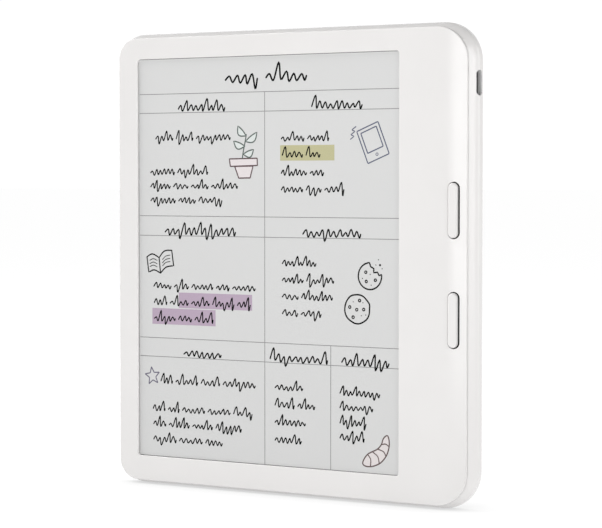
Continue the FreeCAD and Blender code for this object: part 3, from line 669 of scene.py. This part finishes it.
DOODLE_PEN = 0.46
BOOK_PEN = 0.48
BOOK_LINE_PEN = 0.28
BISCUIT_PEN = 0.54
CHIP_PEN = 0.42
TABLET_LEAN = -22
WHOLE_BISCUIT = (91.0, 86.4, 4.9)
BITTEN_BISCUIT = (95.9, 75.2, 4.5)
STAR_CENTRE = (6.3, 113.0)
STAR_REACH = (3.3, 1.45)
STAR_LEAN = -8
# four leaves: stalk end and tip
LEAVES = (
    ((46.3, 27.6), (43.0, 24.2)), ((46.1, 29.6), (50.8, 26.4)),
    ((45.8, 31.2), (41.2, 29.4)), ((45.2, 34.0), (49.4, 32.4)),
)


def leaf_outline(stalk, tip, bulge):
    """Pointed leaf with a belly on its lower side."""
    (u0, v0), (u1, v1) = stalk, tip
    run = math.hypot(u1 - u0, v1 - v0)
    nu, nv = -(v1 - v0) / run, (u1 - u0) / run
    if nv < 0:
        nu, nv = -nu, -nv
    upper, lower = [], []
    for i in range(9):
        t = i / 8
        swell = math.sin(math.pi * t)
        u, v = u0 + (u1 - u0) * t, v0 + (v1 - v0) * t
        upper.append((u - nu * swell * 0.15 * bulge, v - nv * swell * 0.15 * bulge))
        lower.append((u + nu * swell * bulge, v + nv * swell * bulge))
    return upper + lower[-2:0:-1]


def clockwise(points):
    area = sum(a[0] * b[1] - b[0] * a[1] for a, b in zip(points, points[1:] + points[:1]))
    return points if area > 0 else points[::-1]


def draw_plant():
    green = Sheet("doodle_leaves", matt_colour("ink_leaf", (0.115, 0.140, 0.128)))
    green_fill = Sheet("doodle_leaf_tint", matt_colour("tint_leaf", (0.655, 0.690, 0.675)), FILL_LIFT)
    for stalk, tip in LEAVES:
        shape = clockwise(leaf_outline(stalk, tip, 2.0))
        green_fill.patch(shape)
        green.stroke(shape, DOODLE_PEN, closed=True)
    green.stroke(smooth([(44.8, 35.4), (45.3, 32.5), (46.1, 29.0), (46.4, 27.2)]), DOODLE_PEN)
    green_fill.finish()
    green.finish()

    brown = Sheet("doodle_pot", matt_colour("ink_pot", (0.120, 0.080, 0.085)))
    brown_fill = Sheet("doodle_pot_tint", matt_colour("tint_pot", (0.700, 0.650, 0.655)), FILL_LIFT)
    rim = [(39.4, 35.6), (50.9, 35.4), (51.0, 37.9), (39.8, 38.2)]
    bowl = [(41.6, 38.2), (49.2, 38.1), (48.0, 42.2), (43.3, 42.3)]
    for shape in (rim, bowl):
        brown_fill.patch(clockwise(shape))
        brown.stroke(rounded(shape, 0.25), DOODLE_PEN, closed=True)
    brown_fill.finish()
    brown.finish()


def rounded(corners, radius):
    """Polygon with each corner cut into a short curve."""
    result = []
    size = len(corners)
    for i, corner in enumerate(corners):
        for other, order in ((corners[i - 1], (1.0, 0.45)), (corners[(i + 1) % size], (0.45, 1.0))):
            run = math.hypot(other[0] - corner[0], other[1] - corner[1])
            for share in order:
                t = radius * share / run
                result.append((corner[0] + (other[0] - corner[0]) * t, corner[1] + (other[1] - corner[1]) * t))
    return result


def draw_tablet():
    blue = Sheet("doodle_tablet", matt_colour("ink_tablet", (0.105, 0.115, 0.175)))
    centre = (97.0, 30.4)
    shell = turned(rectangle(92.6, 101.4, 24.6, 36.2), centre, TABLET_LEAN)
    page = turned(rectangle(93.8, 100.2, 25.8, 33.0), centre, TABLET_LEAN)
    for shape, corner in ((shell, 0.5), (page, 0.3)):
        blue.stroke(rounded(shape, corner), DOODLE_PEN * 0.9, closed=True)
    knob = turned([(97.0, 34.6)], centre, TABLET_LEAN)[0]
    blue.stroke(circle(knob, 0.45, 10), 0.25, closed=True)
    blue.stroke(smooth([(90.4, 25.0), (88.9, 26.1), (90.0, 26.6), (88.5, 27.7), (89.6, 28.2), (88.3, 29.2)], 3),
                DOODLE_PEN * 0.8)
    blue.finish()


def draw_book():
    book = Sheet("doodle_book", matt_colour("ink_book", grey(0.010)))
    left = smooth([(4.0, 70.4), (6.4, 69.3), (9.3, 70.6)], 4)
    right = smooth([(9.3, 70.6), (11.6, 68.2), (14.8, 67.9)], 4)
    low_left = smooth([(9.9, 76.1), (7.2, 75.0), (4.8, 75.9)], 4)
    low_right = smooth([(15.6, 73.4), (12.4, 73.9), (9.9, 76.1)], 4)
    book.stroke(left + right[1:], BOOK_PEN)
    book.stroke([(14.8, 67.9)] + low_right, BOOK_PEN)
    book.stroke(low_left + [(4.0, 70.4)], BOOK_PEN)
    book.stroke([(9.3, 70.6), (9.9, 76.1)], BOOK_PEN)
    for v in (0.0, 1.2, 2.3):
        book.stroke(smooth([(5.3, 71.6 + v), (6.8, 71.0 + v), (8.4, 71.6 + v)], 3), BOOK_LINE_PEN)
        book.stroke(smooth([(10.8, 71.2 + v), (12.2, 70.0 + v), (14.0, 69.6 + v)], 3), BOOK_LINE_PEN)
    book.finish()


def draw_biscuits(chance):
    biscuit = Sheet("doodle_biscuits", matt_colour("ink_biscuit", grey(0.010)))
    u0, v0, radius = WHOLE_BISCUIT
    whole = circle((u0, v0), radius, 18, 0.03, chance)
    biscuit.stroke(smooth(whole, 3, closed=True), BISCUIT_PEN, closed=True)
    for u, v in ((-2.9, -0.6), (-0.2, 0.2), (2.5, 0.1), (0.9, -2.9), (-1.6, 2.8)):
        biscuit.stroke(circle((u0 + u, v0 + v), 0.45, 10), CHIP_PEN, closed=True)
    for u, v in ((-1.6, -2.4), (2.2, -2.2), (1.6, 2.2), (3.3, 1.9)):
        biscuit.patch(circle((u0 + u, v0 + v), 0.2, 8))

    u0, v0, radius = BITTEN_BISCUIT
    bitten = [(u0 + radius * math.cos(math.radians(a)), v0 + radius * math.sin(math.radians(a)))
              for a in range(-8, 276, 12)]
    bite = [(96.2, 72.0), (97.4, 72.6), (97.4, 74.0), (98.8, 73.8), (99.4, 74.9)]
    biscuit.stroke(smooth(bitten + bite, 2, closed=True), BISCUIT_PEN, closed=True)
    for u, v in ((94.3, 73.9), (94.5, 77.0), (98.0, 76.5)):
        biscuit.stroke(circle((u, v), 0.42, 10), CHIP_PEN, closed=True)
    for u, v in ((96.0, 74.6), (93.0, 76.0), (96.4, 78.2), (99.2, 69.6), (100.6, 72.6), (98.2, 71.4)):
        biscuit.patch(circle((u, v), 0.2, 8))
    biscuit.patch(circle((99.8, 71.4), 0.42, 10))
    biscuit.finish()


def draw_star():
    star = Sheet("doodle_star", matt_colour("ink_star", (0.150, 0.140, 0.195)))
    points = []
    for i in range(10):
        reach = STAR_REACH[i % 2]
        angle = math.radians(-90 + 36 * i + STAR_LEAN)
        points.append((STAR_CENTRE[0] + reach * math.cos(angle), STAR_CENTRE[1] + reach * math.sin(angle)))
    star.stroke(rounded(points, 0.3), DOODLE_PEN * 0.9, closed=True)
    star.finish()


# crescent roll: far tip, outer side, near tip and inner side, then the folds across it
PASTRY_OUTLINE = (
    (93.2, 138.6), (94.6, 139.4), (97.2, 139.2), (100.2, 137.8), (102.4, 135.2), (103.4, 132.2),
    (103.3, 129.7), (102.6, 128.5), (101.2, 129.6), (100.4, 131.7), (98.9, 133.3), (96.9, 134.3),
    (95.1, 135.3), (93.8, 136.9),
)
PASTRY_FOLDS = (
    ((95.1, 135.3), (96.3, 137.0), (96.2, 139.2)), ((96.9, 134.3), (99.0, 135.8), (99.6, 138.1)),
    ((98.9, 133.3), (101.2, 134.0), (102.2, 135.6)), ((100.4, 131.7), (102.0, 131.4), (103.4, 132.2)),
)


def draw_pastry():
    """A crescent roll with four folds."""
    line = Sheet("doodle_pastry", matt_colour("ink_pastry", (0.125, 0.090, 0.088)))
    tint = Sheet("doodle_pastry_tint", matt_colour("tint_pastry", (0.690, 0.645, 0.640)), FILL_LIFT)
    outline = smooth(list(PASTRY_OUTLINE), 4, closed=True)
    tint.patch(clockwise(outline))
    line.stroke(outline, DOODLE_PEN, closed=True)
    for fold in PASTRY_FOLDS:
        line.stroke(smooth(list(fold), 5), DOODLE_PEN * 0.85)
    tint.finish()
    line.finish()


add_camera()
add_studio()
dress_frame(make_materials())
draw_page()
